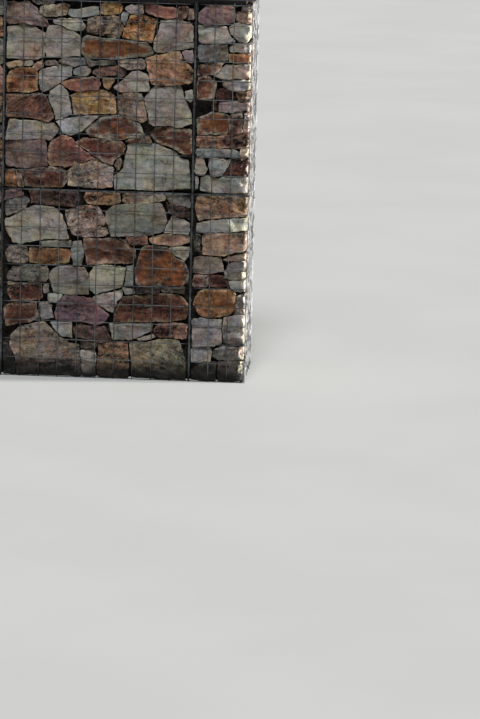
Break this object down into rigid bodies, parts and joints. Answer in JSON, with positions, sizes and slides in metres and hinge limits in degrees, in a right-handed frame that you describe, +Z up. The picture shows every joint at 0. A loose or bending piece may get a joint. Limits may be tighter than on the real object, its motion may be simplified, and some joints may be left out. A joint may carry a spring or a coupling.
{
  "type": "gabion wall",
  "caption": "Upright gabion wall of welded wire mesh cages packed with coursed sandstone, a narrow cage closing its end and a dark coping along the top.",
  "frame": {"origin": "middle of the wall's foot, on the surface it stands on", "axes": "+X along the wall towards the narrow end cage, -Y out of the front face, +Z up"},
  "size_m": [2.324, 0.524, 2.075],
  "materials": {
    "fill_stone": "rough split sandstone",
    "mesh_wire": "weathered galvanised",
    "coping_stone": "sawn dark stone",
    "bed_mortar": "rough mortar"
  },
  "bodies": {
    "root": {"back_mesh_bay_1_lower": "mesh_wire", "back_mesh_bay_1_upper": "mesh_wire", "back_mesh_bay_2_lower": "mesh_wire", "back_mesh_bay_2_upper": "mesh_wire", "back_mesh_end_cage_lower": "mesh_wire", "back_mesh_end_cage_upper": "mesh_wire", "coping_bed": "bed_mortar", "coping_slab_1": "coping_stone", "coping_slab_2": "coping_stone", "front_mesh_bay_1_lower": "mesh_wire", "front_mesh_bay_1_upper": "mesh_wire", "front_mesh_bay_2_lower": "mesh_wire", "front_mesh_bay_2_upper": "mesh_wire", "front_mesh_end_cage_lower": "mesh_wire", "front_mesh_end_cage_upper": "mesh_wire", "left_end_mesh_lower": "mesh_wire", "left_end_mesh_upper": "mesh_wire", "right_end_mesh_lower": "mesh_wire", "right_end_mesh_upper": "mesh_wire", "stone_fill_bay_1_lower": "fill_stone", "stone_fill_bay_1_upper": "fill_stone", "stone_fill_bay_2_lower": "fill_stone", "stone_fill_bay_2_upper": "fill_stone", "stone_fill_end_cage_lower": "fill_stone", "stone_fill_end_cage_upper": "fill_stone"}
  },
  "joints": []
}
